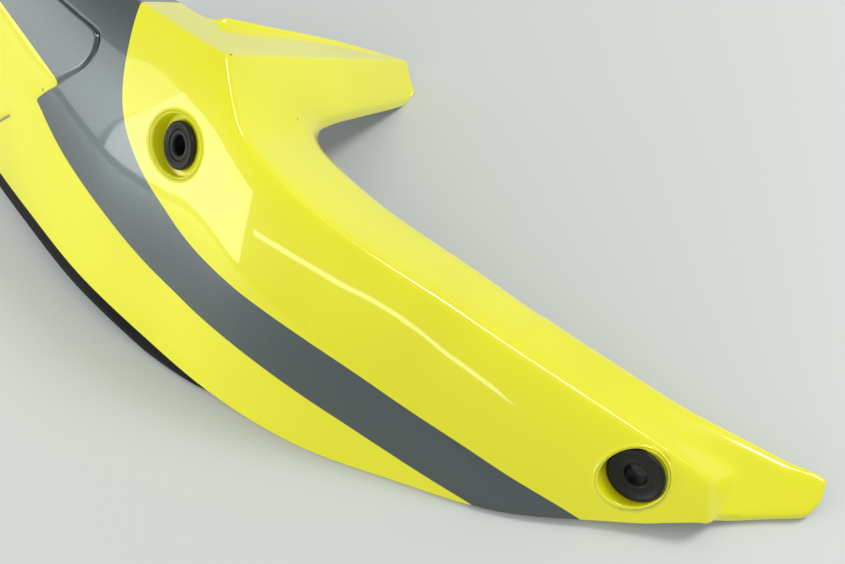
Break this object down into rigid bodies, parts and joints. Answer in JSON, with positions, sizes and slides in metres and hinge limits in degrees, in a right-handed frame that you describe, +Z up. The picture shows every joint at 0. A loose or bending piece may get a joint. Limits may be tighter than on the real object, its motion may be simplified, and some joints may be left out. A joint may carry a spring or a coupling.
{
  "type": "motorcycle tail fairing",
  "caption": "Moulded motorcycle tail side fairing, a hollow painted shell with a folded arm, a pointed tip and rubber bolt grommets.",
  "frame": {"origin": "under the middle of the bounding box, on the surface the panel lies on", "axes": "+X runs along the panel from its rear end to its pointed front tip, +Y from the outer lower edge to the seat side, +Z up as the panel lies at rest"},
  "size_m": [0.409, 0.1802, 0.1064],
  "materials": {
    "painted_shell": "gloss lemon yellow paint with a metallic grey band, black unpainted inside",
    "grommet_rubber": "satin black rubber"
  },
  "bodies": {
    "root": {"shell": "painted_shell", "rear_grommet": "grommet_rubber", "front_grommet": "grommet_rubber"}
  },
  "joints": []
}
